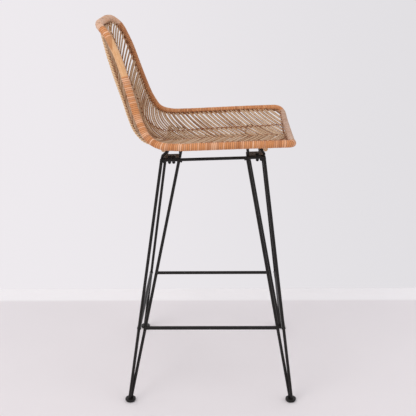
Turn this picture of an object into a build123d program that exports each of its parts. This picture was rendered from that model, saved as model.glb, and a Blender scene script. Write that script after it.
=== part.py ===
from build123d import *
from math import cos, pi, sin, sqrt, tan, radians
import os

os.makedirs("parts", exist_ok=True)

# Bar stool: scoop-shaped rattan seat on a base of black round steel bar.
# +Z is up, the sitter faces -Y, and the stool is the same left and right of the plane X = 0.
# The origin is on the floor, at the middle of the stool's outer box.

# ---------------------------------------------------------------- driving dimensions, mm
leg_centre_y = -24.6        # the legs' middle lies this far in front of the origin

rod_diameter = 8.0          # legs and top rails
footrest_diameter = 9.6     # footrest rails
bracket_diameter = 6.0      # bent bars that carry the seat
foot_spacing = 430.0        # between foot centres, both ways
tip_gap_x = 3.7             # half the distance between a pair's rods at the foot, across
tip_gap_y = 2.0             # the same, lengthwise
top_half_width = 125.0      # top side rails, from the plane X = 0
footrest_height = 201.0

disc_diameter = 28.0
disc_thickness = 5.0
disc_edge_radius = 1.8
glide_diameter = 25.0
glide_thickness = 3.5
glide_edge_radius = 1.2

top_rail_end = 3.5          # top side rails run past the outer rods by this
cross_rail_drop = 5.6       # top cross rails hang this far under the side rails' line
cross_rail_inset = 7.5      # top cross rails stand this far inside the outer rods
plate_thickness = 3.0
plate_width = 40.0          # across the stool
plate_overhang = 2.5        # plates run past the rods' middle lines by this
plate_corner = 4.0

bolt_diameter = 5.0
bolt_hole_diameter = 5.5
bolt_head_diameter = 9.5
bolt_head_height = 2.8
bolt_length = 19.0
nut_across_flats = 8.0
nut_height = 10.0           # long nuts, twice the bolt diameter
washer_diameter = 10.0
washer_thickness = 1.0
bolt_from_rail = 17.0       # bolt line, in from the top side rail

rim_diameter = 18.5         # rim poles with their wrapping
cross_pole_diameter = 12.0
spine_diameter = 8.0
side_rod_diameter = 6.0     # thin rods behind the two side bindings
side_rod_x = [88, 91, 93, 89, 78, 74.5, 69]     # from the bend to the top, from the plane X = 0
skin_thickness = 3.6
skin_gap = 1.4              # skin's edge to the rim pole
cross_pole_x = [127.0, 62.0, 0.0]   # ends, bends and middle of the cross poles
pole_gap = 1.3              # clearance where a pole lies behind the skin

# Rear and front corner: heights of the top rail and places of the rods along the stool.
# All y values below are counted from the legs' middle, and leg_centre_y is added to them.
rear = {
    "foot": foot_spacing / 2, "outer": 119.0, "inner": 74.0, "rail_z": 643.6,
    "post": 71.5, "run_end": 96.0, "run_z": 672.3, "heel": 114.5, "heel_z": 656.0,
    "bolts": [100.0, 89.2], "pole": 112.8, "pole_z": [671.7, 660.4, 656.8],
}
front = {
    "foot": -foot_spacing / 2, "outer": -142.0, "inner": -99.0, "rail_z": 650.0,
    "post": -100.5, "run_end": -127.0, "run_z": 678.8, "heel": -142.5, "heel_z": 657.0,
    "bolts": [-125.0], "pole": -144.9, "pole_z": [671.6, 668.0, 666.0],
}
ends = {"rear": rear, "front": front}
sides = {"left": 1, "right": -1}

# Line of the rim pole on the sitter's left: x, y, z of the runs' corners, from the crest
# down the back and forward along the seat.
crest_corners = [(66, 269, 980.5), (108, 261, 977), (126, 240, 957)]
side_corners = [
    (131, 216, 904), (137, 200, 852), (150, 184, 800), (165, 170, 757),
    (186, 148, 714.5), (208, 114, 699.8), (214, 66, 699), (217, -100, 705),
]
front_corners = [(218, -197, 707.5), (186, -208, 700.5), (95, -211, 689)]

# Stations of the woven skin: y and z on the rim's line, the rim's half width there, and how
# far the skin sags away from the sitter at the middle.
skin_stations = [
    (-198.5, 704.0, 184, 24), (-165, 706.5, 217, 27), (-103, 706, 217, 29), (0, 702, 215.5, 28.5),
    (66, 700, 214, 30.5), (110, 701.2, 205, 33), (138.5, 709.5, 191, 36), (156.5, 728, 176.5, 38),
    (171, 760, 164, 38), (185, 803, 149, 38), (200.5, 853, 137, 38), (216, 904, 131, 37),
    (234, 943, 127, 33), (251, 968, 107, 19),
]


# ---------------------------------------------------------------- shared shapes
def spot(x, y, z):
    """A point, with y counted from the legs' middle."""
    return Vector(x, y + leg_centre_y, z)


def bar(start, end, diameter):
    """A straight round bar between two points."""
    with BuildPart() as piece:
        with BuildSketch(Plane(origin=start, z_dir=end - start)):
            Circle(diameter / 2)
        extrude(amount=(end - start).length)
    return piece


def bend_radii(points, largest):
    """For each inner corner, the largest arc that its two runs leave room for."""
    radii = []
    for before, corner, after in zip(points, points[1:], points[2:]):
        turn = radians((corner - before).get_angle(after - corner))
        shorter = min((corner - before).length, (after - corner).length)
        radii.append(min(largest, 0.45 * shorter / tan(turn / 2)))
    return radii


def bent_bar(points, diameter, largest=1500.0):
    """A round bar along straight runs joined by arcs."""
    with BuildPart() as piece:
        with BuildLine() as path:
            FilletPolyline(*points, radius=bend_radii(points, largest))
        with BuildSketch(Plane(origin=path.line @ 0, z_dir=path.line % 0)):
            Circle(diameter / 2)
        sweep(path=path.line)
    return piece


def cut_back(piece, *others):
    """The piece, with its ends shaped to the pieces that it meets."""
    with BuildPart() as coped:
        add(piece.part)
        for other in others:
            add(other.part, mode=Mode.SUBTRACT)
    return coped


def largest_solid(piece):
    """Only the main body of a coped bar."""
    with BuildPart() as main:
        add(piece.part.solids().sort_by(SortBy.VOLUME)[-1])
    return main


def finish(piece, name):
    piece.part.label = name
    export_step(piece.part, f"parts/{name}.step")
    return piece


def between(start, end, z):
    """The point at height z on a straight line."""
    return start + (end - start) * ((z - start.Z) / (end.Z - start.Z))


# ---------------------------------------------------------------- base: top side rails
rail_slope = (front["rail_z"] - rear["rail_z"]) / (front["outer"] - rear["outer"])


def rail_height(y):
    """Height of the top side rails' middle line."""
    return rear["rail_z"] + rail_slope * (y - rear["outer"])


top_rails = {}
for side, sign in sides.items():
    x = sign * top_half_width
    back_y = rear["outer"] + top_rail_end
    front_y = front["outer"] - top_rail_end
    rail = bar(spot(x, back_y, rail_height(back_y)), spot(x, front_y, rail_height(front_y)), rod_diameter)
    top_rails[side] = finish(rail, f"top_rail_{side}")

# ---------------------------------------------------------------- base: hairpin leg rods
rod_lines = {}
leg_rods = {}
foot_top = glide_thickness + disc_thickness
for end, corner in ends.items():
    for side, sign in sides.items():
        for place, tip_sign in (("outer", 1), ("inner", -1)):
            lengthwise = tip_sign * tip_gap_y * (1 if end == "rear" else -1)
            across = foot_spacing / 2 + tip_sign * tip_gap_x
            foot = spot(sign * across, corner["foot"] + lengthwise, foot_top)
            top = spot(sign * top_half_width, corner[place], rail_height(corner[place]))
            rod_lines[end, side, place] = (foot, top)
            # The bar starts under the disc's top face and is cut off level with it.
            start = between(foot, top, glide_thickness)
            with BuildPart() as rod:
                add(bar(start, top, rod_diameter).part)
                split(bisect_by=Plane.XY.offset(foot_top), keep=Keep.TOP)
                add(top_rails[side].part, mode=Mode.SUBTRACT)
            rod = largest_solid(rod)
            leg_rods[end, side, place] = finish(rod, f"leg_rod_{end}_{side}_{place}")

# ---------------------------------------------------------------- base: footrest rails
for side in sides:
    rail = bar(
        between(*rod_lines["rear", side, "inner"], footrest_height),
        between(*rod_lines["front", side, "inner"], footrest_height),
        footrest_diameter,
    )
    rail = cut_back(rail, leg_rods["rear", side, "inner"], leg_rods["front", side, "inner"])
    finish(largest_solid(rail), f"footrest_rail_{side}")

for end in ends:
    rail = bar(
        between(*rod_lines[end, "left", "outer"], footrest_height),
        between(*rod_lines[end, "right", "outer"], footrest_height),
        footrest_diameter,
    )
    rail = cut_back(rail, leg_rods[end, "left", "outer"], leg_rods[end, "right", "outer"])
    finish(largest_solid(rail), f"footrest_rail_{end}")

# ---------------------------------------------------------------- base: top cross rails
for end, corner in ends.items():
    inward = -1 if end == "rear" else 1
    y = corner["outer"] + inward * cross_rail_inset
    z = rail_height(y) - cross_rail_drop
    rail = bar(spot(-top_half_width, y, z), spot(top_half_width, y, z), rod_diameter)
    meets = [top_rails[side] for side in sides] + [leg_rods[end, side, "outer"] for side in sides]
    finish(largest_solid(cut_back(rail, *meets)), f"top_rail_{end}")

# ---------------------------------------------------------------- base: feet
for end, corner in ends.items():
    for side, sign in sides.items():
        centre = spot(sign * foot_spacing / 2, corner["foot"], glide_thickness)
        with BuildPart() as disc:
            with BuildSketch(Plane(origin=centre)):
                Circle(disc_diameter / 2)
            extrude(amount=disc_thickness)
            fillet(disc.edges().filter_by(GeomType.CIRCLE).sort_by(Axis.Z)[-1], disc_edge_radius)
        finish(disc, f"foot_disc_{end}_{side}")

with BuildPart() as glides:
    for corner in ends.values():
        for sign in sides.values():
            with BuildSketch(Plane(origin=spot(sign * foot_spacing / 2, corner["foot"], 0))):
                Circle(glide_diameter / 2)
    extrude(amount=glide_thickness)
    lowest = glides.edges().filter_by(GeomType.CIRCLE).group_by(Axis.Z)[0]
    fillet(lowest, glide_edge_radius)
finish(glides, "foot_glides")

# ---------------------------------------------------------------- seat mounting: plates
plate_middle_x = top_half_width - rod_diameter / 2 + 0.5 - plate_width / 2 - 0.6


def plate_plane(sign, corner, lift):
    """A plane in the top rails' slope, with its origin over the middle of a corner's plates."""
    middle_y = (corner["outer"] + corner["inner"]) / 2
    middle = spot(sign * plate_middle_x, middle_y, rail_height(middle_y))
    slope = Plane(origin=middle, x_dir=(1, 0, 0), z_dir=(0, -rail_slope, 1))
    return slope.offset(lift)


def plate(sign, corner, lift):
    """A flat plate with rounded corners and the bolt holes."""
    length = abs(corner["outer"] - corner["inner"]) + 2 * plate_overhang
    middle_y = (corner["outer"] + corner["inner"]) / 2
    with BuildPart() as piece:
        with BuildSketch(plate_plane(sign, corner, lift)):
            RectangleRounded(plate_width, length, plate_corner)
            for y in corner["bolts"]:
                with Locations((sign * (top_half_width - bolt_from_rail - plate_middle_x), y - middle_y)):
                    Circle(bolt_hole_diameter / 2, mode=Mode.SUBTRACT)
        extrude(amount=plate_thickness)
    return piece


leg_plates = {}
seat_plates = {}
for end, corner in ends.items():
    for side, sign in sides.items():
        neighbours = [top_rails[side], leg_rods[end, side, "outer"], leg_rods[end, side, "inner"]]
        leg_plate = cut_back(plate(sign, corner, -plate_thickness / 2), *neighbours)
        leg_plates[end, side] = finish(largest_solid(leg_plate), f"leg_plate_{end}_{side}")
        seat_plate = cut_back(plate(sign, corner, plate_thickness / 2), *neighbours)
        seat_plates[end, side] = finish(largest_solid(seat_plate), f"seat_plate_{end}_{side}")

# ---------------------------------------------------------------- seat mounting: bent brackets
bracket_x = top_half_width - rod_diameter / 2 - bracket_diameter / 2 - 0.4
bracket_bend = 9.0
for end, corner in ends.items():
    for side, sign in sides.items():
        x = sign * bracket_x
        points = [
            spot(x, corner["post"], rail_height(corner["post"]) + 1.5 * plate_thickness),
            spot(x, corner["post"], corner["run_z"]),
            spot(x, corner["run_end"], corner["run_z"]),
            spot(x, corner["heel"], corner["heel_z"]),
            spot(x, corner["outer"], rail_height(corner["outer"]) + plate_thickness),
        ]
        # The bar is bent first, then cut off level with the plate that it is welded to.
        with BuildPart() as bracket:
            with BuildLine() as path:
                FilletPolyline(*points, radius=bend_radii(points, bracket_bend))
            with BuildSketch(Plane(origin=path.line @ 0, z_dir=path.line % 0)):
                Circle(bracket_diameter / 2)
            sweep(path=path.line)
            split(bisect_by=plate_plane(sign, corner, 1.5 * plate_thickness), keep=Keep.TOP)
        finish(largest_solid(bracket), f"seat_bracket_{end}_{side}")

# ---------------------------------------------------------------- seat mounting: fasteners
bolt_spots = []
for corner in ends.values():
    middle_y = (corner["outer"] + corner["inner"]) / 2
    for sign in sides.values():
        for y in corner["bolts"]:
            across = sign * (top_half_width - bolt_from_rail - plate_middle_x)
            bolt_spots.append(Location(plate_plane(sign, corner, 0)) * Location((across, y - middle_y, 0)))

with BuildPart() as bolts:
    with BuildPart(mode=Mode.PRIVATE) as bolt:
        with BuildSketch(Plane.XY.offset(1.5 * plate_thickness)):
            Circle(bolt_head_diameter / 2)
        extrude(amount=bolt_head_height)
        fillet(bolt.edges().filter_by(GeomType.CIRCLE).sort_by(Axis.Z)[-1], 1.6)
        with BuildSketch(Plane.XY.offset(1.5 * plate_thickness - bolt_length)):
            Circle(bolt_diameter / 2)
        extrude(amount=bolt_length)
        chamfer(bolt.edges().filter_by(GeomType.CIRCLE).sort_by(Axis.Z)[0], 0.6)
    with Locations(*bolt_spots):
        add(bolt.part)
finish(bolts, "seat_bolts")

washer_top = -plate_thickness / 2
with BuildPart() as washers:
    with BuildPart(mode=Mode.PRIVATE) as washer:
        with BuildSketch(Plane.XY.offset(washer_top - washer_thickness)):
            Circle(washer_diameter / 2)
            Circle(bolt_hole_diameter / 2, mode=Mode.SUBTRACT)
        extrude(amount=washer_thickness)
    with Locations(*bolt_spots):
        add(washer.part)
finish(washers, "seat_washers")

with BuildPart() as nuts:
    with BuildPart(mode=Mode.PRIVATE) as nut:
        with BuildSketch(Plane.XY.offset(washer_top - washer_thickness - nut_height)):
            RegularPolygon(nut_across_flats / 2, 6, major_radius=False)
            Circle(bolt_diameter / 2, mode=Mode.SUBTRACT)
        extrude(amount=nut_height)
    with Locations(*bolt_spots):
        add(nut.part)
finish(nuts, "seat_nuts")

# ---------------------------------------------------------------- rattan: rim poles
def left(points):
    return [spot(x, y, z) for x, y, z in points]


def right(points):
    return [spot(-x, y, z) for x, y, z in points]


def middle(first, second):
    return (first + second) * 0.5


top_joint = {}
front_joint = {}
for side, way in (("left", left), ("right", right)):
    top_joint[side] = middle(way(crest_corners)[-1], way(side_corners)[0])
    front_joint[side] = middle(way(side_corners)[-1], way(front_corners)[0])
    points = [top_joint[side]] + way(side_corners) + [front_joint[side]]
    finish(bent_bar(points, rim_diameter), f"side_pole_{side}")

crest_points = [top_joint["left"]] + left(crest_corners)[::-1]
crest_points += right(crest_corners) + [top_joint["right"]]
finish(bent_bar(crest_points, rim_diameter), "crest_pole")

front_points = [front_joint["left"]] + left(front_corners)
front_points += right(front_corners)[::-1] + [front_joint["right"]]
finish(bent_bar(front_points, rim_diameter), "front_pole")

# ---------------------------------------------------------------- rattan: woven skin
station_spots = [spot(0, y, z) for y, z, half_width, sag in skin_stations]


def station_plane(index):
    """Across the skin, x to the sitter's left and y towards the sitter; level under the crest."""
    if index == len(station_spots) - 1:
        return Plane(origin=station_spots[index], x_dir=(1, 0, 0), z_dir=(0, 0, -1))
    before = station_spots[max(index - 1, 0)]
    after = station_spots[index + 1]
    return Plane(origin=station_spots[index], x_dir=(1, 0, 0), z_dir=before - after)


def skin_edge(index):
    """Half width of the woven skin at a station, inside the rim pole."""
    return skin_stations[index][2] - rim_diameter / 2 - skin_gap


def skin_depth(index, across):
    """How far the skin lies behind the rim's plane, at a distance from the stool's middle plane."""
    edge, sag = skin_edge(index), skin_stations[index][3]
    arc_radius = (edge**2 + sag**2) / (2 * sag)
    return sqrt(arc_radius**2 - across**2) - (arc_radius - sag)


# The sticks of the two halves meet at the middle plane, so each half is a piece of its own.
for side, sign in sides.items():
    with BuildPart() as skin:
        for index in range(len(skin_stations)):
            edge, sag = skin_edge(index), skin_stations[index][3]
            halfway = edge / 2
            depth = skin_depth(index, halfway)
            with BuildSketch(station_plane(index)):
                with BuildLine():
                    ThreePointArc((0, -sag), (sign * halfway, -depth), (sign * edge, 0))
                    Line((sign * edge, 0), (sign * edge, -skin_thickness))
                    ThreePointArc(
                        (sign * edge, -skin_thickness),
                        (sign * halfway, -depth - skin_thickness),
                        (0, -sag - skin_thickness),
                    )
                    Line((0, -sag - skin_thickness), (0, -sag))
                make_face()
        loft(ruled=True)
    finish(skin, f"woven_skin_{side}")


# ---------------------------------------------------------------- rattan: poles behind the skin
def behind_skin(index, across, depth):
    """A point behind the skin at a distance from the stool's middle plane."""
    down = skin_depth(index, abs(across)) + skin_thickness + depth
    return station_plane(index).from_local_coords(Vector(across, -down, 0))


# The spine and the side rods start at the bend and run up the back.
bend_station = 6
stations = range(bend_station, len(skin_stations) - 1)
spine_points = [behind_skin(index, 0, spine_diameter / 2 + pole_gap) for index in stations]
finish(bent_bar(spine_points, spine_diameter, 30), "spine_pole")
for side, sign in sides.items():
    depth = side_rod_diameter / 2 + pole_gap
    points = [behind_skin(index, sign * x, depth) for index, x in zip(stations, side_rod_x)]
    finish(bent_bar(points, side_rod_diameter, 30), f"side_rod_{side}")

for end, corner in ends.items():
    heights = list(zip(cross_pole_x, corner["pole_z"]))
    half = [spot(x, corner["pole"], z) for x, z in heights]
    other_half = [spot(-x, corner["pole"], z) for x, z in heights[:-1]]
    finish(bent_bar(other_half + half[::-1], cross_pole_diameter, 300), f"cross_pole_{end}")
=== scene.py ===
import math
import random

import bpy
import numpy as np
from mathutils import Matrix, Vector


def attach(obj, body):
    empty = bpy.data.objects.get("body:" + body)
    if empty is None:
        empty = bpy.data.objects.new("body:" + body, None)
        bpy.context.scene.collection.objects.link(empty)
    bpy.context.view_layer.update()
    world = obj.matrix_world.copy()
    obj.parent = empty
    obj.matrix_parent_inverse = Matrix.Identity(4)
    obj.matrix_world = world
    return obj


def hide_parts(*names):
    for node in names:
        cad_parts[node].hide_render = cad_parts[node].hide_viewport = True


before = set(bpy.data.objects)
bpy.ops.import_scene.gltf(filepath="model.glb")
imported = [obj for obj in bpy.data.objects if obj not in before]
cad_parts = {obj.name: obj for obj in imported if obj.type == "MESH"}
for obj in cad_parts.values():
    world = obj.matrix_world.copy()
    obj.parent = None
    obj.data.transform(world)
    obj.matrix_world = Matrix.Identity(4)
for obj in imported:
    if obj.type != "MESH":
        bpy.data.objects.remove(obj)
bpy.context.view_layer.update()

# Bar stool: scoop-shaped rattan seat on a base of black round steel bar. Lengths are in
# millimetres, but in metres for the finishes and the studio. +Z is up, the sitter faces -Y, and
# +X is the sitter's left.

# ---------------------------------------------------------------- driving dimensions, mm
SHIFT_Y = -24.6          # the legs' middle lies this far in front of the origin
RIM_RADIUS = 9.25
SKIN_GAP = 1.4           # between the rim and the plain edge of the weave
FOOT = 215.0             # the feet stand this far to each side of the middle
TOP_X = 125.0            # and the top side rails this far
FOOTREST_Z = 201.0
WRAP_PITCH = 4.7         # one turn of the rim's cane
STICK_RADIUS = 2.0
TWINE_PITCH = 13.6       # the twined strands change places at every pair of sticks
ROPE_PITCH = 7.6         # and the twisted rods' strands this often
ENDS = {
    "rear": {"foot": 215.0, "outer": 119.0, "inner": 74.0, "rail_z": 643.6},
    "front": {"foot": -215.0, "outer": -142.0, "inner": -99.0, "rail_z": 650.0},
}
SIDES = {"left": 1, "right": -1}

CREST_CORNERS = [(66, 269, 980.5), (108, 261, 977), (126, 240, 957)]
SIDE_CORNERS = [
    (131, 216, 904), (137, 200, 852), (150, 184, 800), (165, 170, 757),
    (186, 148, 714.5), (208, 114, 699.8), (214, 66, 699), (217, -100, 705),
]
FRONT_CORNERS = [(218, -197, 707.5), (186, -208, 700.5), (95, -211, 689)]

# Stations of the woven skin: y, z on the rim's line, the rim's half width, the sag in the middle.
STATIONS = np.array([
    (-198.5, 704, 184, 24), (-165, 706.5, 217, 27), (-103, 706, 217, 29), (0, 702, 215.5, 28.5),
    (66, 700, 214, 30.5), (110, 701.2, 205, 33), (138.5, 709.5, 191, 36), (156.5, 728, 176.5, 38),
    (171, 760, 164, 38), (185, 803, 149, 38), (200.5, 853, 137, 38), (216, 904, 131, 37),
    (234, 943, 127, 33), (251, 968, 107, 19), (262.5, 977.5, 88, 6),
], float)

ROD_STATIONS = slice(6, 13)                      # the rods behind the back pass these stations,
SIDE_ROD_X = [88, 91, 93, 89, 78, 74.5, 69]      # the side rods at these places across,
ROD_CLOSING = 11                                 # and draw nearer to the weave above this one

rng = np.random.default_rng(7)


# ---------------------------------------------------------------- curves and the seat's surface
def smooth(knots, values, at):
    """Cubic through the values at the knots, with slopes taken from their neighbours."""
    slopes = np.gradient(values, knots)
    i = np.clip(np.searchsorted(knots, at) - 1, 0, len(knots) - 2)
    step = knots[i + 1] - knots[i]
    t = (at - knots[i]) / step
    return (
        (2 * t**3 - 3 * t**2 + 1) * values[i] + (t**3 - 2 * t**2 + t) * step * slopes[i]
        + (3 * t**2 - 2 * t**3) * values[i + 1] + (t**3 - t**2) * step * slopes[i + 1]
    )


runs = np.hypot(np.diff(STATIONS[:, 0]), np.diff(STATIONS[:, 1]))
ALONG = np.concatenate([[0], np.cumsum(runs)])
TOP_S = ALONG[-1]
lean = []
for k in range(len(STATIONS)):
    low, high = STATIONS[max(k - 1, 0)], STATIONS[min(k + 1, len(STATIONS) - 1)]
    lean.append(math.atan2(high[1] - low[1], high[0] - low[0]))
lean[-2:] = [math.pi / 2, math.pi / 2]
LEAN = np.array(lean)


def half_edge(s):
    """Half width of the weave at a distance along the profile."""
    return smooth(ALONG, STATIONS[:, 2], s) - RIM_RADIUS - SKIN_GAP


def skin(s, x, lift=0.0):
    """Points on the seat's inner surface, lifted towards the sitter."""
    s, x = np.broadcast_arrays(np.asarray(s, float), np.asarray(x, float))
    y, z = smooth(ALONG, STATIONS[:, 0], s), smooth(ALONG, STATIONS[:, 1], s)
    sag, edge = smooth(ALONG, STATIONS[:, 3], s), half_edge(s)
    angle = smooth(ALONG, LEAN, s)
    radius = (edge**2 + sag**2) / (2 * sag)
    depth = np.sqrt(np.maximum(radius**2 - x**2, 1.0)) - (radius - sag) - lift
    return np.stack([x, y + SHIFT_Y + depth * np.sin(angle), z - depth * np.cos(angle)], -1)


def skin_normal(s, x, reach=1.5):
    """Unit vectors out of the seat's inner surface, towards the sitter."""
    along = skin(s + reach, x) - skin(s - reach, x)
    across = skin(s, x + reach) - skin(s, x - reach)
    out = np.cross(across, along)
    return out / np.linalg.norm(out, axis=-1, keepdims=True)


ARC_SHARE = 0.45         # an arc takes this share of the shorter run beside its corner
ARC_RADIUS = 1500.0      # unless its radius would be larger than this


def arc_path(corners, step):
    """Points at even steps along straight runs joined by arcs."""
    corners = [np.array(c, float) for c in corners]
    points = [corners[0]]
    for before, corner, after in zip(corners, corners[1:], corners[2:]):
        a, b = before - corner, after - corner
        long_a, long_b = np.linalg.norm(a), np.linalg.norm(b)
        turn = math.pi - math.acos(np.clip(a @ b / long_a / long_b, -1, 1))
        tangent = min(ARC_SHARE * min(long_a, long_b), ARC_RADIUS * math.tan(turn / 2))
        first = corner + a / long_a * tangent
        last = corner + b / long_b * tangent
        middle = a / long_a + b / long_b
        middle /= max(np.linalg.norm(middle), 1e-9)
        radius = tangent / math.tan(turn / 2)
        centre = corner + middle * radius / math.cos(turn / 2)
        p, q = first - centre, last - centre
        for t in np.linspace(0, 1, max(3, int(math.degrees(turn)))):
            swing = math.sin((1 - t) * turn) * p + math.sin(t * turn) * q
            points.append(centre + swing / math.sin(turn))
    points.append(corners[-1])
    return even_steps(np.array(points), step)


def even_steps(points, step):
    """The same path with its points at even steps."""
    runs = np.linalg.norm(np.diff(points, axis=0), axis=1)
    points = points[np.concatenate([[True], runs > 1e-6])]
    along = lengths(points)
    at = np.linspace(0, along[-1], max(2, round(along[-1] / step) + 1))
    return np.stack([np.interp(at, along, points[:, k]) for k in range(3)], 1)


def lengths(path):
    """Distance from the start to each point of a path."""
    return np.concatenate([[0], np.cumsum(np.linalg.norm(np.diff(path, axis=0), axis=1))])


def tangents(path):
    """Unit vectors along a path."""
    t = np.gradient(path, axis=0)
    return t / np.linalg.norm(t, axis=1, keepdims=True)


def frames(path, hint):
    """Two unit vectors across the path at each point; the first stays near the hint."""
    t = tangents(path)
    hint = np.broadcast_to(np.asarray(hint, float), path.shape)
    first = hint - (hint * t).sum(1, keepdims=True) * t
    first /= np.linalg.norm(first, axis=1, keepdims=True)
    return first, np.cross(t, first)


# ---------------------------------------------------------------- mesh pieces
class Bundle:
    """Many tubes gathered into one mesh, with lengths, angles and tints kept for the materials."""

    def __init__(self):
        self.points, self.faces, self.uv, self.tint = [], [], [], []
        self.count = 0

    def tube(self, path, radius, hint, sides=8, tint=0.5, start=0.0, turns=None):
        """A tube along the path. Its winding is its length from start, or the turns given."""
        n = len(path)
        first, second = frames(path, hint)
        angle = np.linspace(0, 2 * math.pi, sides, endpoint=False)[None, :, None]
        ring = first[:, None] * np.cos(angle) + second[:, None] * np.sin(angle)
        radius = np.asarray(radius, float)
        radius = np.broadcast_to(radius if radius.ndim == 2 else radius[..., None], (n, sides))
        self.points.append((path[:, None] + ring * radius[..., None]).reshape(-1, 3))
        self.tint.append(np.full(n * sides, float(tint)))

        rows = np.arange(n - 1)[:, None] * sides + self.count
        here = np.arange(sides)[None, :]
        there = (here + 1) % sides
        quads = [rows + here, rows + there, rows + sides + there, rows + sides + here]
        self.faces.extend(np.stack(quads, -1).reshape(-1, 4).tolist())
        along = lengths(path) + start
        marks = along if turns is None else turns
        u0, u1, v0, v1 = np.broadcast_arrays(
            marks[:-1, None], marks[1:, None], here / sides, (here + 1) / sides
        )
        self.uv.append(np.stack([u0, v0, u0, v1, u1, v1, u1, v0], -1).reshape(-1, 2))

        self.faces.append([self.count + k for k in range(sides)][::-1])
        self.faces.append([self.count + (n - 1) * sides + k for k in range(sides)])
        for end in (0, -1):
            self.uv.append(np.stack([np.full(sides, along[end]), np.full(sides, 0.5)], 1))
        self.count += n * sides

    def make(self, name, material):
        """The finished piece, in metres, riding on the stool's only body."""
        mesh = bpy.data.meshes.new(name)
        points = np.concatenate(self.points) / 1000
        mesh.from_pydata(points.tolist(), [], self.faces)
        layer = mesh.uv_layers.new(name="Winding")
        layer.data.foreach_set("uv", np.concatenate(self.uv).astype(np.float32).ravel())
        tint = mesh.attributes.new("tint", "FLOAT", "POINT")
        tint.data.foreach_set("value", np.concatenate(self.tint).astype(np.float32))
        return shown(name, mesh, material)


def linked(name, data):
    """An object of the scene made from a mesh, a light or a camera."""
    made = bpy.data.objects.new(name, data)
    bpy.context.scene.collection.objects.link(made)
    return made


def shown(name, mesh, material):
    """A smooth piece of the stool made from a mesh."""
    mesh.polygons.foreach_set("use_smooth", [True] * len(mesh.polygons))
    mesh.materials.append(material)
    mesh.update()
    piece = linked(name, mesh)
    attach(piece, "root")
    return piece


# ---------------------------------------------------------------- shader arithmetic
class Value:
    """A shader socket that arithmetic builds Math nodes from."""

    def __init__(self, nodes, socket):
        self.nodes, self.socket = nodes, socket

    def math(self, operation, *terms):
        return self.nodes.add("ShaderNodeMath", {"operation": operation}, dict(enumerate(terms)))

    def __add__(self, other):
        return self.math("ADD", self, other)

    def __radd__(self, other):
        return self.math("ADD", other, self)

    def __sub__(self, other):
        return self.math("SUBTRACT", self, other)

    def __rsub__(self, other):
        return self.math("SUBTRACT", other, self)

    def __mul__(self, other):
        return self.math("MULTIPLY", self, other)

    def __rmul__(self, other):
        return self.math("MULTIPLY", other, self)

    def __truediv__(self, other):
        return self.math("DIVIDE", self, other)

    def __rtruediv__(self, other):
        return self.math("DIVIDE", other, self)

    def floor(self):
        return self.math("FLOOR", self)

    def fract(self):
        return self.math("FRACT", self)

    def abs(self):
        return self.math("ABSOLUTE", self)

    def ramp(self, low, high):
        """0 below low, 1 above high, smooth between."""
        return self.nodes.add(
            "ShaderNodeMapRange", {"interpolation_type": "SMOOTHSTEP"},
            {"Value": self, "From Min": low, "From Max": high},
        )


class Nodes:
    """A node tree and the one method that its nodes come from."""

    def __init__(self, tree):
        self.tree = tree

    def feed(self, socket, value):
        """Links a value to a socket, or sets the socket to a number or a colour."""
        if isinstance(value, Value):
            self.tree.links.new(value.socket, socket)
        elif socket.type == "RGBA":
            socket.default_value = (*value, 1.0)
        else:
            socket.default_value = value

    def add(self, kind, settings=None, sockets=None, output=0):
        """A new node: first its settings, then its sockets, each by its name or its number."""
        made = self.tree.nodes.new(kind)
        for key, value in (settings or {}).items():
            setattr(made, key, value)
        for key, value in (sockets or {}).items():
            self.feed(made.inputs[key], value)
        return Value(self, made.outputs[output])

    def split(self, vector):
        """The three parts of a vector."""
        first = self.add("ShaderNodeSeparateXYZ", sockets={0: vector})
        return [Value(self, part) for part in first.socket.node.outputs]

    def join(self, x, y, z):
        return self.add("ShaderNodeCombineXYZ", sockets={0: x, 1: y, 2: z})

    def mix(self, share, first, second):
        """A share of the second colour over the first, by a Mix node's sockets for colours."""
        return self.add("ShaderNodeMix", {"data_type": "RGBA"}, {0: share, 6: first, 7: second}, 2)


class Finish(Nodes):
    """A material with its node tree and the few nodes that the finishes are made of."""

    def __init__(self, name, roughness, specular=0.5):
        self.material = bpy.data.materials.new(name)
        self.material.use_nodes = True
        super().__init__(self.material.node_tree)
        self.shader = self.tree.nodes["Principled BSDF"]
        self.feed(self.shader.inputs["Roughness"], roughness)
        self.feed(self.shader.inputs["Specular IOR Level"], specular)

    def winding(self):
        """Length or turns along the piece, and the share of the way around it."""
        return self.split(self.add("ShaderNodeUVMap", {"uv_map": "Winding"}))[:2]

    def place(self):
        """Where a point is on the stool, in metres."""
        return self.add("ShaderNodeTexCoord", output="Object")

    def tint(self):
        """The number from 0 to 1 that each tube was given."""
        return self.add("ShaderNodeAttribute", {"attribute_name": "tint"}, output=2)

    def noise(self, vector, scale, detail=3.0):
        sockets = {"Vector": vector, "Scale": scale, "Detail": detail, "Roughness": 0.55}
        return self.add("ShaderNodeTexNoise", sockets=sockets)

    def chance(self, number):
        """A number from 0 to 1 for each number given."""
        return self.add("ShaderNodeTexWhiteNoise", {"noise_dimensions": "1D"}, {"W": number})

    def shaded(self, colour, shade, low, high, share):
        """The colour with a share of shade over it, which fades in between two heights."""
        height = self.split(self.place())[2]
        return self.mix(height.ramp(low, high) * share, colour, shade)

    def paint(self, colour, roughness=None, height=None, depth=None, strength=None):
        """Feeds the shader: colour, roughness and a height that bends the light."""
        self.feed(self.shader.inputs["Base Color"], colour)
        if roughness is not None:
            self.feed(self.shader.inputs["Roughness"], roughness)
        if height is not None:
            sockets = {"Height": height, "Distance": depth, "Strength": strength}
            self.feed(self.shader.inputs["Normal"], self.add("ShaderNodeBump", sockets=sockets))
        return self.material


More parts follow.
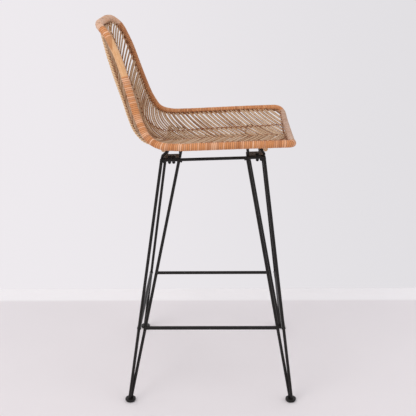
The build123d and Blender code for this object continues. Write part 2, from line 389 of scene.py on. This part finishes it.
# ---------------------------------------------------------------- finishes
def black_paint(name, gloss):
    """Satin black paint with fine orange peel and a little dust."""
    f = Finish(name, gloss, 0.24)
    at = f.place()
    peel = f.noise(at, 900.0, 2.0)
    dust = f.noise(at, 60.0, 4.0).ramp(0.45, 0.75)
    colour = f.mix(dust, (0.0085, 0.0072, 0.0065), (0.015, 0.013, 0.012))
    return f.paint(colour, gloss + 0.12 * dust + 0.05 * peel, peel, 0.00006, 0.35)


def wrap_cane(name, deep, middle, pale, shade=None):
    """Flat cane wound side by side: each turn has its own colour, the pale turns partly a painted
    sheen, with painted shade in the gaps between turns.
    """
    f = Finish(name, 0.42, 0.42)
    along, around = f.winding()
    turn = along + around
    own = f.chance(turn.floor())
    other = f.chance(turn.floor() + 0.37)
    gap = ((turn.fract() - 0.5).abs() * 2).ramp(0.62, 0.97)
    hair = ((turn * 2).fract() - 0.5).abs().ramp(0.40, 0.5) * other
    patch = f.noise(f.place(), 16.0, 3.0)
    streak = f.noise(f.join(turn * 7.0, around * 2.2, own * 9.0), 1.6, 4.0)
    # The pale turns are partly the cane's own lighter tone and partly a painted sheen.
    colour = f.mix((own * 0.7 + streak * 0.5 - 0.12).ramp(0.3, 1.0), middle, pale)
    colour = f.mix(((1 - other) * 0.8 + patch * 0.6 - 0.35).ramp(0.4, 0.85) * 0.75, colour, deep)
    if shade is not None:
        colour = f.shaded(colour, shade, 0.70, 0.80, 0.35)
    dark = tuple(c * 0.3 for c in deep)
    colour = f.mix(hair * 0.35, colour, dark)
    # The gaps between turns are darkened with painted shade.
    colour = f.mix(gap * (0.55 + 0.45 * other), colour, dark)
    return f.paint(colour, 0.36 + 0.2 * streak + 0.25 * gap, streak - gap, 0.00012, 0.5)


def worn_cane(name, deep, middle, pale, crease):
    """Older greyish wrapping whose turns have run together, with a few brown creases."""
    f = Finish(name, 0.5, 0.35)
    along, around = f.winding()
    turn = along + around
    gap = ((turn.fract() - 0.5).abs() * 2).ramp(0.7, 1.0)
    own = f.chance(turn.floor())
    patch = f.noise(f.place(), 19.0, 3.0)
    fibre = f.noise(f.join(turn * 3.0, around * 5.0, own * 4.0), 1.8, 4.0)
    colour = f.mix((own * 0.4 + patch * 0.8 - 0.1).ramp(0.2, 0.85), middle, pale)
    colour = f.mix(fibre.ramp(0.55, 0.8) * 0.6, colour, deep)
    # The gaps between turns are darkened with painted shade.
    colour = f.mix(gap * 0.45, colour, deep)
    fold = 1 - (f.noise(f.place(), 27.0, 1.0) - 0.5).abs().ramp(0.0, 0.018)
    colour = f.mix(fold * 0.75, colour, crease)
    return f.paint(colour, 0.42 + 0.25 * fibre, fibre - fold, 0.00015, 0.6)


def stick_cane(name, pale, tan, brown, shade=None):
    """Thin rattan sticks: each has its own tint, long grain, darker joints and worn patches."""
    f = Finish(name, 0.5, 0.35)
    along, around = f.winding()
    tint = f.tint()
    grain = f.noise(f.join(along * 0.035, around * 3.0, tint * 57.0), 2.2, 4.0)
    fine = f.noise(f.join(along * 0.12, around * 14.0, tint * 91.0), 2.0, 3.0)
    patch = f.noise(f.place(), 22.0, 3.0)
    colour = f.mix((tint * 0.9 + grain * 0.5 - 0.25).ramp(0.15, 0.95), pale, tan)
    colour = f.mix((tint + patch * 0.7 + fine * 0.25).ramp(1.2, 1.62), colour, brown)
    # Each stick's sides, where it lies against its neighbours, are darkened: partly stain, partly
    # painted shade.
    beside = (1 - (((around - 0.5).abs() * 2) - 0.5).abs() * 2).ramp(0.25, 0.8)
    colour = f.mix(beside * 0.5, colour, brown)
    joint = (along / 96.0 + tint * 7.0).fract()
    ring = (joint - 0.5).abs().ramp(0.0, 0.022)
    colour = f.mix((1 - ring) * 0.7, colour, brown)
    colour = f.mix(fine.ramp(0.56, 0.8) * 0.35, colour, tuple(c * 0.55 for c in tan))
    if shade is not None:
        colour = f.shaded(colour, shade, 0.68, 0.76, 0.25)
    return f.paint(colour, 0.42 + 0.25 * grain, fine, 0.00015, 0.6)


def peeled_cane(name, pale, tan, brown, splice=None):
    """A thick peeled pole: long grain, freckles and a pointed end where the wrapping starts."""
    f = Finish(name, 0.4, 0.45)
    along, around = f.winding()
    grain = f.noise(f.join(along * 0.02, around * 5.0, 0.0), 2.4, 5.0)
    freckle = f.noise(f.join(along * 0.14, around * 9.0, 3.0), 3.0, 3.0)
    patch = f.noise(f.place(), 18.0, 3.0)
    colour = f.mix(grain.ramp(0.32, 0.68), pale, tan)
    colour = f.mix(freckle.ramp(0.6, 0.78) * 0.7, colour, brown)
    colour = f.mix(patch.ramp(0.55, 0.8) * 0.4, colour, brown)
    if splice is not None:
        point = (around * 2).fract() - 0.5
        edge = (point.abs() * 56 + 8 - along).ramp(-2.0, 2.0)
        colour = f.mix(edge * 0.6, colour, splice)
    return f.paint(colour, 0.34 + 0.25 * grain, grain, 0.0002, 0.5)


def rope_cane(name, pale, tan, dark):
    """Twisted strands: pale outside, with painted shade on the side that faces the other strand."""
    f = Finish(name, 0.5, 0.35)
    along, around = f.winding()
    tint = f.tint()
    fine = f.noise(f.join(along * 0.3, around * 4.0, tint * 31.0), 2.0, 3.0)
    colour = f.mix((fine + tint * 0.4).ramp(0.45, 0.85), pale, tan)
    # Painted shade on the side of each strand that faces the other.
    inner = (1 - (around - 0.5).abs() * 2).ramp(0.42, 0.7)
    colour = f.mix(inner * 0.9, colour, dark)
    return f.paint(colour, 0.45 + 0.2 * fine, fine, 0.00015, 0.6)


def moulded_plastic(name):
    """Matt black plastic with a faint mottle."""
    f = Finish(name, 0.6)
    mottle = f.noise(f.place(), 300.0).ramp(0.3, 0.7)
    colour = f.mix(mottle, (0.02, 0.02, 0.02), (0.035, 0.034, 0.033))
    return f.paint(colour, None, f.noise(f.place(), 1400.0), 0.00005, 0.4)


PAINT = black_paint("black_paint", 0.30)
FASTENER = black_paint("black_fastener", 0.24)
GLIDE = moulded_plastic("glide_plastic")
# The pale wrapping colour is partly the cane's own lighter tone and partly a painted sheen.
DEEP, MIDDLE, PALE_TONE_AND_SHEEN = (0.40, 0.135, 0.036), (0.66, 0.27, 0.094), (0.87, 0.50, 0.30)
WRAP = wrap_cane("wrapped_cane", DEEP, MIDDLE, PALE_TONE_AND_SHEEN)
# A shaded copy of the wrapping for the far side: duller pale turns for painted shade, and more
# painted shade darkening it on the back.
WRAP_FAR_SHADED = wrap_cane(
    "wrapped_cane_far_shaded", DEEP, MIDDLE, pale=(0.76, 0.38, 0.17), shade=(0.25, 0.085, 0.028)
)
CREST = worn_cane(
    "crest_cane", deep=(0.44, 0.24, 0.14), middle=(0.64, 0.37, 0.22), pale=(0.76, 0.52, 0.38),
    crease=(0.13, 0.06, 0.035),
)
FRONT = worn_cane(
    "front_cane", deep=(0.34, 0.19, 0.115), middle=(0.48, 0.30, 0.20), pale=(0.58, 0.41, 0.31),
    crease=(0.26, 0.13, 0.08),
)
STICK = stick_cane(
    "stick_cane", pale=(0.66, 0.48, 0.315), tan=(0.52, 0.315, 0.16), brown=(0.22, 0.08, 0.026),
    shade=(0.34, 0.19, 0.085),
)
BINDING = stick_cane(
    "binding_cane", pale=(0.42, 0.15, 0.06), tan=(0.30, 0.10, 0.04), brown=(0.10, 0.035, 0.015)
)
KNOT = stick_cane(
    "knot_cane", pale=(0.30, 0.11, 0.038), tan=(0.20, 0.07, 0.025), brown=(0.06, 0.02, 0.009)
)
PEELED = peeled_cane(
    "peeled_pole", pale=(0.80, 0.48, 0.25), tan=(0.68, 0.36, 0.15), brown=(0.45, 0.19, 0.065),
    splice=(0.42, 0.15, 0.04),
)
ROPE = rope_cane(
    "rope_cane", pale=(0.84, 0.62, 0.40), tan=(0.66, 0.42, 0.21), dark=(0.13, 0.05, 0.02)
)
CORE = peeled_cane(
    "core_pole", pale=(0.66, 0.46, 0.28), tan=(0.54, 0.33, 0.17), brown=(0.34, 0.17, 0.07)
)

for node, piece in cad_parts.items():
    if node.startswith(("seat_bolts", "seat_nuts", "seat_washers")):
        material = FASTENER
    elif node == "foot_glides":
        material = GLIDE
    elif node.startswith(("crest", "front_pole", "side_", "spine", "cross", "woven")):
        material = CORE
    else:
        material = PAINT
    piece.data.materials.clear()
    piece.data.materials.append(material)


# ---------------------------------------------------------------- rim: wrapped and peeled poles
WRAP_TOP = 953.0         # heights between which the right side pole is bare
WRAP_LOW = 859.0
CREST_END = {"left": 962.0, "right": 971.0}      # heights where the crest's own wrapping ends
FRONT_X, FRONT_Y = 186.0, -180.0                 # the front pole's own wrapping starts inside these
BARE_LAP = 4.0           # the bare stretch runs this far under the wrapping
FRONT_SLIMMER = 1.1      # the front wrapping gets this much thinner,
FRONT_TAPER = 60.0       # over this length
CUT_STEP = 0.75
TURN_SIDES = 20
TURN_ROUND = 0.75        # a turn's edges lie this much lower than its middle
TURN_PROUD = (-0.16, 0.1)        # and a whole turn may lie this much lower or higher


def placed(corners, sign):
    """Corners of the rim on one side of the stool."""
    return [np.array((sign * x, y + SHIFT_Y, z), float) for x, y, z in corners]


def rim_half(sign):
    """The rim's line on one side, from the middle of the crest to the middle of the front."""
    whole = placed(CREST_CORNERS + SIDE_CORNERS + FRONT_CORNERS, sign)
    top, front = whole[0] * (0, 1, 1), whole[-1] * (0, 1, 1)
    return [top, *whole, front]


def transported(path):
    """A hint for each point that doesn't spin along the path."""
    t = tangents(path)
    hints = [np.cross(t[0], [0.0, 0.0, 1.0] if abs(t[0][2]) < 0.8 else [1.0, 0.0, 0.0])]
    for k in range(1, len(path)):
        h = hints[-1] - (hints[-1] @ t[k]) * t[k]
        hints.append(h / np.linalg.norm(h))
    return np.array(hints)


def cut(path, start, stop):
    """The stretch of a path between two lengths."""
    along = lengths(path)
    at = np.linspace(start, stop, max(2, round((stop - start) / CUT_STEP) + 1))
    return np.stack([np.interp(at, along, path[:, k]) for k in range(3)], 1)


def wound(bundle, path, radius, seed):
    """Flat cane wound round a pole; each turn stands a little prouder or lower than the next."""
    turns = lengths(path) / WRAP_PITCH
    own = np.random.default_rng(seed)
    count = turns[:, None] + np.linspace(0, 1, TURN_SIDES, endpoint=False)[None, :]
    proud = own.uniform(*TURN_PROUD, int(count.max()) + 3)
    ridge = np.abs(2 * (count % 1) - 1) ** 5
    r = radius - TURN_ROUND * ridge + proud[count.astype(int)]
    bundle.tube(path, r, transported(path), TURN_SIDES, turns=turns + seed * 40)


crest = Bundle()
front = Bundle()
for side, sign in SIDES.items():
    whole = arc_path(rim_half(sign), 1.0)
    across, deep, height = np.abs(whole[:, 0]), whole[:, 1], whole[:, 2]
    along = lengths(whole)
    crest_end = along[np.argmax(height < CREST_END[side])]
    corner = along[np.argmax((deep < FRONT_Y + SHIFT_Y) & (across < FRONT_X))]
    wound(crest, cut(whole, 0, crest_end), RIM_RADIUS, 3 if side == "left" else 4)
    wrapped = Bundle()
    if side == "left":
        wound(wrapped, cut(whole, crest_end, corner), RIM_RADIUS, 5)
    else:
        top, low = along[np.argmax(height < WRAP_TOP)], along[np.argmax(height < WRAP_LOW)]
        wound(wrapped, cut(whole, crest_end, top), RIM_RADIUS, 7)
        wound(wrapped, cut(whole, low, corner), RIM_RADIUS, 6)
        bare = cut(whole, top - BARE_LAP, low + BARE_LAP)
        sway = 0.12 * np.sin(lengths(bare) / 9.0) + 0.1 * np.sin(lengths(bare) / 23.0 + 1)
        peeled = Bundle()
        peeled.tube(bare, RIM_RADIUS - 0.5 + sway, transported(bare), 24)
        peeled = peeled.make(f"side_peeled_{side}", PEELED)
    wrapped = wrapped.make(f"side_wrap_{side}", WRAP_FAR_SHADED if side == "left" else WRAP)
    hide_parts(f"side_pole_{side}")
    front_run = cut(whole, corner, along[-1])
    slimmer = np.interp(lengths(front_run), [0, FRONT_TAPER], [0.0, FRONT_SLIMMER])
    wound(front, front_run, RIM_RADIUS - slimmer[:, None], 8 if side == "left" else 9)
crest = crest.make("crest_wrap", CREST)
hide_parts("crest_pole")
front = front.make("front_wrap", FRONT)
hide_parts("front_pole")

# ---------------------------------------------------------------- weave: sticks in chevrons
SINGLE_FROM = 405.0      # above this the sticks are single, below it they lie in pairs
FIRST_STICK = -96.0      # sticks that would start this far in front still cross the front corners
WEAVE_START = -11.0      # but the weave itself starts here
WEAVE_DEPTH = 2.0        # the sticks' lines lie this far below the skin's inner face
WIDEST = 230.0           # no stick reaches further across than this
STICK_STEP = 3.0
SHORTEST = 4             # lines with no more points than this are left out


def slope(s):
    """How fast a stick climbs the profile as it nears the rim."""
    return np.interp(s, [290, 345, 380, 420, 470, 620], [0.47, 0.54, 0.64, 0.82, 1.02, 1.08])


def half_gap(s0):
    """Half the distance between a pair's sticks: close on the seat, evenly spread in the bend."""
    return float(np.interp(s0, [205, 265, 350, 400], [2.3, 3.4, 3.4, 2.3]))


def corner_reach(s):
    """How far the weave reaches past its plain edge: furthest in the front corners."""
    return np.interp(s, [WEAVE_START, 4, 32], [10.0, 17.0, 2.0])


def thickness(s):
    """How much stouter the sticks are in the bend and the back than on the seat."""
    return np.interp(s, [290, 350, 480, 540], [1.0, 1.2, 1.25, 1.12])


def stick_line(s0):
    """Distance along the profile and across the stool for one stick, from the middle outwards."""
    x, s = 0.0, s0
    line = []
    while x < WIDEST and s <= TOP_S:
        if s > WEAVE_START:
            if x > float(half_edge(max(s, 0.0))) + float(corner_reach(s)):
                break
            line.append((s, x))
        s += float(slope(s)) * STICK_STEP
        x += STICK_STEP
    return np.array(line) if len(line) > SHORTEST else None


def stick(weave, line, sign):
    """One slightly wavering stick of the weave."""
    s, x = line[:, 0], line[:, 1]
    waver = 0.35 * np.sin(x / rng.uniform(18, 40) + rng.uniform(0, 6))
    lift = -WEAVE_DEPTH + 0.3 * np.sin(x / 31 + rng.uniform(0, 6)) + rng.uniform(-0.25, 0.25)
    lift = lift + 0.4 * np.maximum(-s, 0)
    radius = STICK_RADIUS * rng.uniform(0.94, 1.06) * thickness(s)
    path = skin(s + waver, sign * x, lift)
    tint, start = rng.uniform(0, 1), rng.uniform(0, 90)
    weave.tube(path, radius, skin_normal(s, sign * x), tint=tint, start=start)


for side, sign in SIDES.items():
    weave = Bundle()
    offset = 0 if side == "left" else TWINE_PITCH / 2
    for s0 in np.arange(FIRST_STICK, TOP_S, TWINE_PITCH):
        for way in (-1, 1) if s0 < SINGLE_FROM else (0,):
            line = stick_line(s0 + offset + rng.uniform(-0.3, 0.3) + way * half_gap(s0))
            if line is not None:
                stick(weave, line, sign)
    weave = weave.make(f"weave_{side}", STICK)
    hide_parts(f"woven_skin_{side}")

# ---------------------------------------------------------------- weave: twined strands
CREST_S = ALONG[-2]      # where the skin passes under the crest
TWINE_STEP = 1.2
EDGE_INSET = 3.6         # the edge twining lies this far inside the sticks' ends
BINDING_S = [0, 60, 250, 270, 320, 345, 394, 441, 475, 538, 572, 599, 620]
BINDING_X = [92, 87, 85, 81, 80, 87, 93, 89, 79, 75, 72, 68, 66]


def twine(bundle, s, x, lift, reach, spread, radius, seed, pitch=TWINE_PITCH):
    """Two strands that change places above and below a line on the skin at every pitch."""
    own = np.random.default_rng(seed)
    base, out = skin(s, x, lift), skin_normal(s, x)
    aside = np.cross(out, tangents(base))
    along = lengths(base)
    for phase in (0, math.pi):
        turn = (math.pi * along / pitch + phase)[:, None]
        path = base + out * reach * np.cos(turn) + aside * spread * np.sin(turn)
        outward = out * np.cos(turn) + aside * np.sin(turn)
        bundle.tube(path, radius, outward, tint=own.uniform(0.2, 0.8), start=phase * 13)


bindings = Bundle()
for seed, sign in ((1, 1), (2, -1)):
    s = np.arange(-2.0, CREST_S, TWINE_STEP)
    x = sign * np.interp(s, BINDING_S, BINDING_X)
    thin = np.interp(s, [380, 450], [1.0, 0.72])
    reach, spread = 2.9 * thin[:, None] ** 0.3, 1.2 * thin[:, None]
    twine(bindings, s, x, -WEAVE_DEPTH, reach, spread, radius=1.2 * thin, seed=seed)
bindings = bindings.make("twined_bindings", BINDING)

edge_knots = Bundle()
for seed, sign in ((3, 1), (4, -1)):
    s = np.arange(2.0, CREST_S - 6, TWINE_STEP)
    x = sign * (half_edge(s) - EDGE_INSET + corner_reach(s))
    thin = np.interp(s, [300, 420], [1.0, 0.85])
    reach, spread = 2.8 * thin[:, None], 1.5 * thin[:, None]
    twine(edge_knots, s, x, -WEAVE_DEPTH, reach, spread, radius=1.45 * thin, seed=seed)
x = np.arange(-82.0, 82.5, TWINE_STEP)
under_crest = np.full_like(x, CREST_S + 1)
twine(edge_knots, under_crest, x, -WEAVE_DEPTH, reach=2.6, spread=1.4, radius=1.35, seed=5)
x = np.arange(-176.0, 176.5, TWINE_STEP)
by_front = np.full_like(x, -4.0)
twine(edge_knots, by_front, x, lift=-1.0, reach=2.4, spread=1.5, radius=1.4, seed=6)
edge_knots = edge_knots.make("edge_twining", KNOT)

middle_knots = Bundle()
s = np.arange(4.0, 330.0, TWINE_STEP)
twine(middle_knots, s, 0 * s, lift=-2.2, reach=2.3, spread=0.9, radius=0.9, seed=12)
middle_knots = middle_knots.make("middle_twining", BINDING)

# ---------------------------------------------------------------- twisted rods behind the back
SPINE_DEPTH, SIDE_ROD_DEPTH = 8.9, 7.9           # the rods' middle lines behind the inner face
BEND_S = ALONG[ROD_STATIONS.start]
back_s = np.arange(BEND_S - 14, CREST_S + 4, 0.9)
# The rods lie closer to the weave at the bend and under the crest.
close_s = [BEND_S - 14, BEND_S + 8, ALONG[ROD_CLOSING], CREST_S]
closer = np.interp(back_s, close_s, [4.5, 0.0, 0.0, 7.0])
spine = Bundle()
lift = -(SPINE_DEPTH - closer)
twine(spine, back_s, 0 * back_s, lift, 2.1, 2.1, radius=2.4, seed=21, pitch=ROPE_PITCH)
spine = spine.make("spine_twist", ROPE)
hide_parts("spine_pole")
for side, sign in SIDES.items():
    x = sign * np.interp(back_s, ALONG[ROD_STATIONS], SIDE_ROD_X)
    twist = Bundle()
    lift = -(SIDE_ROD_DEPTH - closer)
    twine(twist, back_s, x, lift, 1.6, 1.6, radius=2.0, seed=22, pitch=ROPE_PITCH)
    twist = twist.make(f"side_twist_{side}", ROPE)
    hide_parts(f"side_rod_{side}")

# ---------------------------------------------------------------- frame details: weld beads
BEAD_RINGS, BEAD_SIDES = 7, 14
BEAD_LUMP = 0.04         # share by which a bead's surface is uneven
FOOTREST_WELD = (5.7, 4.0)       # radius across and reach along a bead's axis
RAIL_WELD = (4.9, 3.6)
CROSS_WELD = (2.6, 4.2)
LEG_WAY = 3.7            # a hairpin's rods stand this far to each side of the middle of its foot,
LEG_DEEP = 2.0           # this far in front of and behind it,
LEG_LOW = 8.5            # and start at this height
BEAD_ASIDE = 2.6         # a footrest weld sits this far from the rod's middle line
RAIL_BEAD_DROP = 3.2     # a rail weld this far below the rod's upper end
CROSS_BEAD = (4.2, -3.9)         # and a cross rail's weld this far inwards and up from it


def bead(own, centre, axis, radius, reach):
    """Points of a flattened, slightly lumpy ball of metal."""
    rotation = Vector((0, 0, 1)).rotation_difference(Vector(axis).normalized()).to_matrix()
    points = []
    for i in range(BEAD_RINGS + 1):
        a = math.pi * i / BEAD_RINGS
        for j in range(BEAD_SIDES):
            b = 2 * math.pi * j / BEAD_SIDES
            wide = radius * math.sin(a) * (1 + own.uniform(-BEAD_LUMP, BEAD_LUMP))
            p = Vector((wide * math.cos(b), wide * math.sin(b), reach * math.cos(a)))
            points.append((Vector(centre) + rotation @ p) / 1000)
    return points


def beads(name, welds):
    """All weld beads where bars meet, as one piece."""
    own = random.Random(11)
    points, faces = [], []
    for weld in welds:
        base = len(points)
        points += bead(own, *weld)
        for i in range(base, base + BEAD_RINGS * BEAD_SIDES, BEAD_SIDES):
            for j in range(BEAD_SIDES):
                k = (j + 1) % BEAD_SIDES
                faces.append((i + j, i + k, i + BEAD_SIDES + k, i + BEAD_SIDES + j))
    mesh = bpy.data.meshes.new(name)
    mesh.from_pydata([tuple(p) for p in points], [], faces)
    return shown(name, mesh, PAINT)


def rail_height(y):
    """Height of the top side rails at a place along them."""
    rear, ahead = ENDS["rear"], ENDS["front"]
    climb = (ahead["rail_z"] - rear["rail_z"]) / (ahead["outer"] - rear["outer"])
    return rear["rail_z"] + climb * (y - rear["outer"])


def rod_line(end, sign, place):
    """Both ends of a leg rod's middle line."""
    corner = ENDS[end]
    way = 1 if place == "outer" else -1
    forward = 1 if end == "rear" else -1
    foot_y = corner["foot"] + way * LEG_DEEP * forward + SHIFT_Y
    foot = np.array([sign * (FOOT + way * LEG_WAY), foot_y, LEG_LOW])
    top = np.array([sign * TOP_X, corner[place] + SHIFT_Y, rail_height(corner[place])])
    return foot, top


def at_height(line, z):
    """The point of a leg rod at a height."""
    foot, top = line
    return foot + (top - foot) * (z - foot[2]) / (top[2] - foot[2])


welds = []
for end in ENDS:
    inward = -1 if end == "rear" else 1
    for sign in SIDES.values():
        outer, inner = rod_line(end, sign, "outer"), rod_line(end, sign, "inner")
        crossing = at_height(inner, FOOTREST_Z) + (0, inward * BEAD_ASIDE, 0)
        welds.append((crossing, (0, 1, 0), *FOOTREST_WELD))
        crossing = at_height(outer, FOOTREST_Z) + (-sign * BEAD_ASIDE, 0, 0)
        welds.append((crossing, (1, 0, 0), *FOOTREST_WELD))
        for foot, top in (inner, outer):
            welds.append((top + (0, 0, -RAIL_BEAD_DROP), top - foot, *RAIL_WELD))
        crossing = inner[1] + (0, inward * CROSS_BEAD[0], CROSS_BEAD[1])
        welds.append((crossing, (0, inward, -1), *CROSS_WELD))
weld_beads = beads("weld_beads", welds)

# ---------------------------------------------------------------- studio: floor, light, camera
FLOOR_SIZE = 4.0         # the floor reaches this far to the front, the rear and one side
FLAT_END = 0.40          # on the other side it curves up from here,
SWEEP_RADIUS = 0.07      # as an arc of this radius
PALER_FROM = 0.41        # and is paler beyond here
FLOOR_DROP = 0.0004      # a hair below the glides


def floor_paint(name):
    """Pale matt floor, a little uneven in tone, with a paler sweep."""
    f = Finish(name, 0.75, 0.12)
    across = f.split(f.place())[0]
    uneven = f.noise(f.place(), 3.0).ramp(0.2, 0.8)
    tone = f.mix(uneven, (0.800, 0.775, 0.785), (0.815, 0.790, 0.800))
    beyond = across.ramp(PALER_FROM - 0.006, PALER_FROM + 0.01)
    return f.paint(f.mix(beyond, tone, (0.90, 0.895, 0.90)))


sweep = bpy.data.meshes.new("floor")
profile = [(-FLOOR_SIZE, 0.0), (-1.0, 0.0), (FLAT_END, 0.0)]
for a in np.linspace(0.1, 0.9, 8):
    rise = SWEEP_RADIUS - SWEEP_RADIUS * math.cos(a)
    profile.append((FLAT_END + SWEEP_RADIUS * math.sin(a), rise))
sweep.from_pydata(
    [(x, y, z - FLOOR_DROP) for x, z in profile for y in (-FLOOR_SIZE, FLOOR_SIZE)], [],
    [(2 * k, 2 * k + 1, 2 * k + 3, 2 * k + 2) for k in range(len(profile) - 1)],
)
sweep.polygons.foreach_set("use_smooth", [True] * len(sweep.polygons))
sweep.materials.append(floor_paint("studio_floor"))
floor = linked("floor", sweep)

world = bpy.data.worlds.new("studio")
bpy.context.scene.world = world
world.use_nodes = True
sky = Nodes(world.node_tree)
background = sky.tree.nodes["Background"].inputs
towards_rear = sky.split(sky.add("ShaderNodeTexCoord", output="Generated"))[1].ramp(-0.3, 0.3)
sky_colour = sky.mix(towards_rear, (0.755, 0.74, 0.765), (0.855, 0.825, 0.855))
sky.feed(background["Color"], sky_colour)
sky.feed(background["Strength"], 1.0)


def lamp(name, place, aim, size, power, colour):
    """A square soft light."""
    light = bpy.data.lights.new(name, "AREA")
    light.size = size
    light.energy = power
    light.color = colour
    made = linked(name, light)
    made.location = place
    made.rotation_euler = (Vector(aim) - Vector(place)).to_track_quat("-Z", "Y").to_euler()


UNDER_SEAT = (0, 0, 0.6)         # where the lamps point
lamp("key", (-1.6, 1.5, 2.6), UNDER_SEAT, size=1.6, power=22, colour=(1.0, 0.97, 0.95))
lamp("fill", (-1.2, -2.2, 1.9), UNDER_SEAT, size=2.0, power=10, colour=(1.0, 1.0, 1.0))

LENS, SENSOR = 69.44, 36.0       # millimetres
EYE = (-2.09586, -0.04517 + SHIFT_Y / 1000, 1.17544)
YAW, PITCH, ROLL = (math.radians(angle) for angle in (-1.377, 18.521, -0.730))

camera_data = bpy.data.cameras.new("camera")
camera_data.sensor_width = SENSOR
camera_data.lens = LENS
camera = linked("camera", camera_data)
flat = math.cos(PITCH)
ahead = Vector((math.cos(YAW) * flat, -math.sin(YAW) * flat, -math.sin(PITCH)))
level = Vector((-math.sin(YAW), -math.cos(YAW), 0))
upward = level.cross(ahead)
right = math.cos(ROLL) * level + math.sin(ROLL) * upward
up = math.cos(ROLL) * upward - math.sin(ROLL) * level
turned = Matrix((right, up, -ahead)).transposed().to_4x4()
camera.matrix_world = Matrix.Translation(EYE) @ turned
bpy.context.scene.camera = camera
bpy.context.scene.view_settings.view_transform = "Standard"
bpy.context.scene.view_settings.look = "None"
